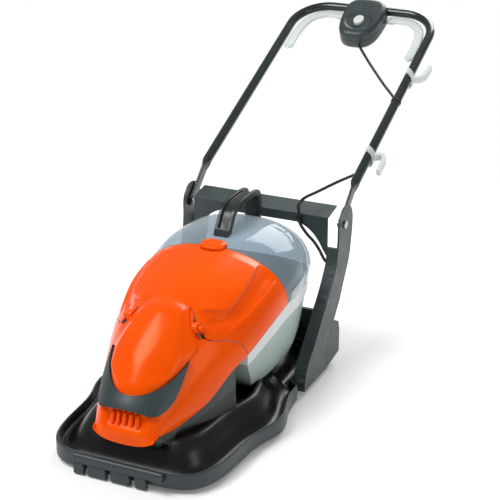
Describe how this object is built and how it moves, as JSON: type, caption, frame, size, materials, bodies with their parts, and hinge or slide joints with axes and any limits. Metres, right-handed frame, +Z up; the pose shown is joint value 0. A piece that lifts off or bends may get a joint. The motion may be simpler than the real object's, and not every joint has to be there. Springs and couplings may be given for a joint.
{
  "type": "hover mower",
  "caption": "Corded hover collect mower: tray hood, moulded body with hinged lid, clear window and grass box, fixed legs and folding tube handle.",
  "frame": {"origin": "on the ground under the middle of the mower's overall length and width", "axes": "+Z up, -Y towards the nose, +Y towards the handle's top bar, +X to the right seen from the nose"},
  "size_m": [0.4488, 1.407, 0.6837],
  "materials": {
    "orange_plastic": "glossy orange moulding",
    "dark_plastic": "satin dark grey moulding",
    "black_plastic": "glossy black moulding",
    "pale_plastic": "satin pale grey moulding",
    "light_plastic": "satin light grey moulding",
    "tube_paint": "gloss black paint on steel tube",
    "steel": "plain steel",
    "copper": "copper windings on laminations",
    "clear_plastic": "clear moulded plastic",
    "cable_rubber": "black rubber cable"
  },
  "bodies": {
    "deck": {"hood": "black_plastic", "front_bar": "dark_plastic", "wear_blocks": "dark_plastic", "rear_frame": "dark_plastic", "left_leg": "dark_plastic", "right_leg": "dark_plastic", "crossbar": "dark_plastic", "leg_bolts": "steel", "shroud": "orange_plastic", "dome_cover": "orange_plastic", "trim_collar": "dark_plastic", "nose_ribs": "orange_plastic", "motor_housing": "dark_plastic", "motor_plate": "dark_plastic", "motor_can": "steel", "stator": "copper", "bearings": "steel", "plate_screws": "steel", "cable_clip": "black_plastic", "cable_lower": "cable_rubber", "cable_gland": "black_plastic"},
    "rotor": {"motor_shaft": "steel", "armature": "copper", "fan": "light_plastic", "blade": "steel", "blade_spacer": "steel", "blade_bolt": "steel"},
    "grass_box": {"tub": "pale_plastic", "tub_pegs": "dark_plastic"},
    "lid": {"lid_shell": "orange_plastic", "window": "clear_plastic", "lid_knuckles": "orange_plastic", "carry_handle": "dark_plastic"},
    "latch": {"latch_button": "orange_plastic"},
    "upper_handle": {"handle_tube": "tube_paint", "switch_box_upper": "dark_plastic", "switch_box_lower": "dark_plastic", "microswitch": "light_plastic", "mains_inlet": "black_plastic", "upper_hook": "light_plastic", "lower_hook": "light_plastic", "cable_tie": "black_plastic", "cable_upper": "cable_rubber", "cable_middle": "cable_rubber"},
    "switch_lever": {"left_lever": "light_plastic", "right_lever": "light_plastic", "lever_bar": "steel"},
    "lock": {"lock_button": "light_plastic"}
  },
  "joints": [
    {"name": "rotor_spin", "type": "hinge", "parent": "deck", "child": "rotor", "pos_m": [0, -0.50444, 0.1], "axis": [0, 0, 1], "continuous": true},
    {"name": "grass_box_lift", "type": "slide", "parent": "deck", "child": "grass_box", "axis": [0, 0, 1], "range_m": [0, 0.16]},
    {"name": "lid_hinge", "type": "hinge", "parent": "grass_box", "child": "lid", "pos_m": [0, -0.49329, 0.26389], "axis": [1, 0, 0], "range_deg": [0, 60]},
    {"name": "latch_press", "type": "slide", "parent": "lid", "child": "latch", "axis": [0, 0.1563, -0.9877], "range_m": [0, 0.004], "stiffness_N_per_m": 500, "springref_m": -0.002},
    {"name": "handle_fold", "type": "hinge", "parent": "deck", "child": "upper_handle", "pos_m": [0, 0.00706, 0.327], "axis": [1, 0, 0], "range_deg": [0, 150], "deforming": ["cable_middle"]},
    {"name": "lever_squeeze", "type": "hinge", "parent": "upper_handle", "child": "switch_lever", "pos_m": [0, 0.63915, 0.63518], "axis": [-1, 0, 0], "range_deg": [0, 12], "stiffness_Nm_per_rad": 2, "springref_deg": -5.73},
    {"name": "lock_press", "type": "slide", "parent": "upper_handle", "child": "lock", "axis": [0, 0.4067, -0.9135], "range_m": [0, 0.004], "stiffness_N_per_m": 400, "springref_m": -0.002}
  ]
}
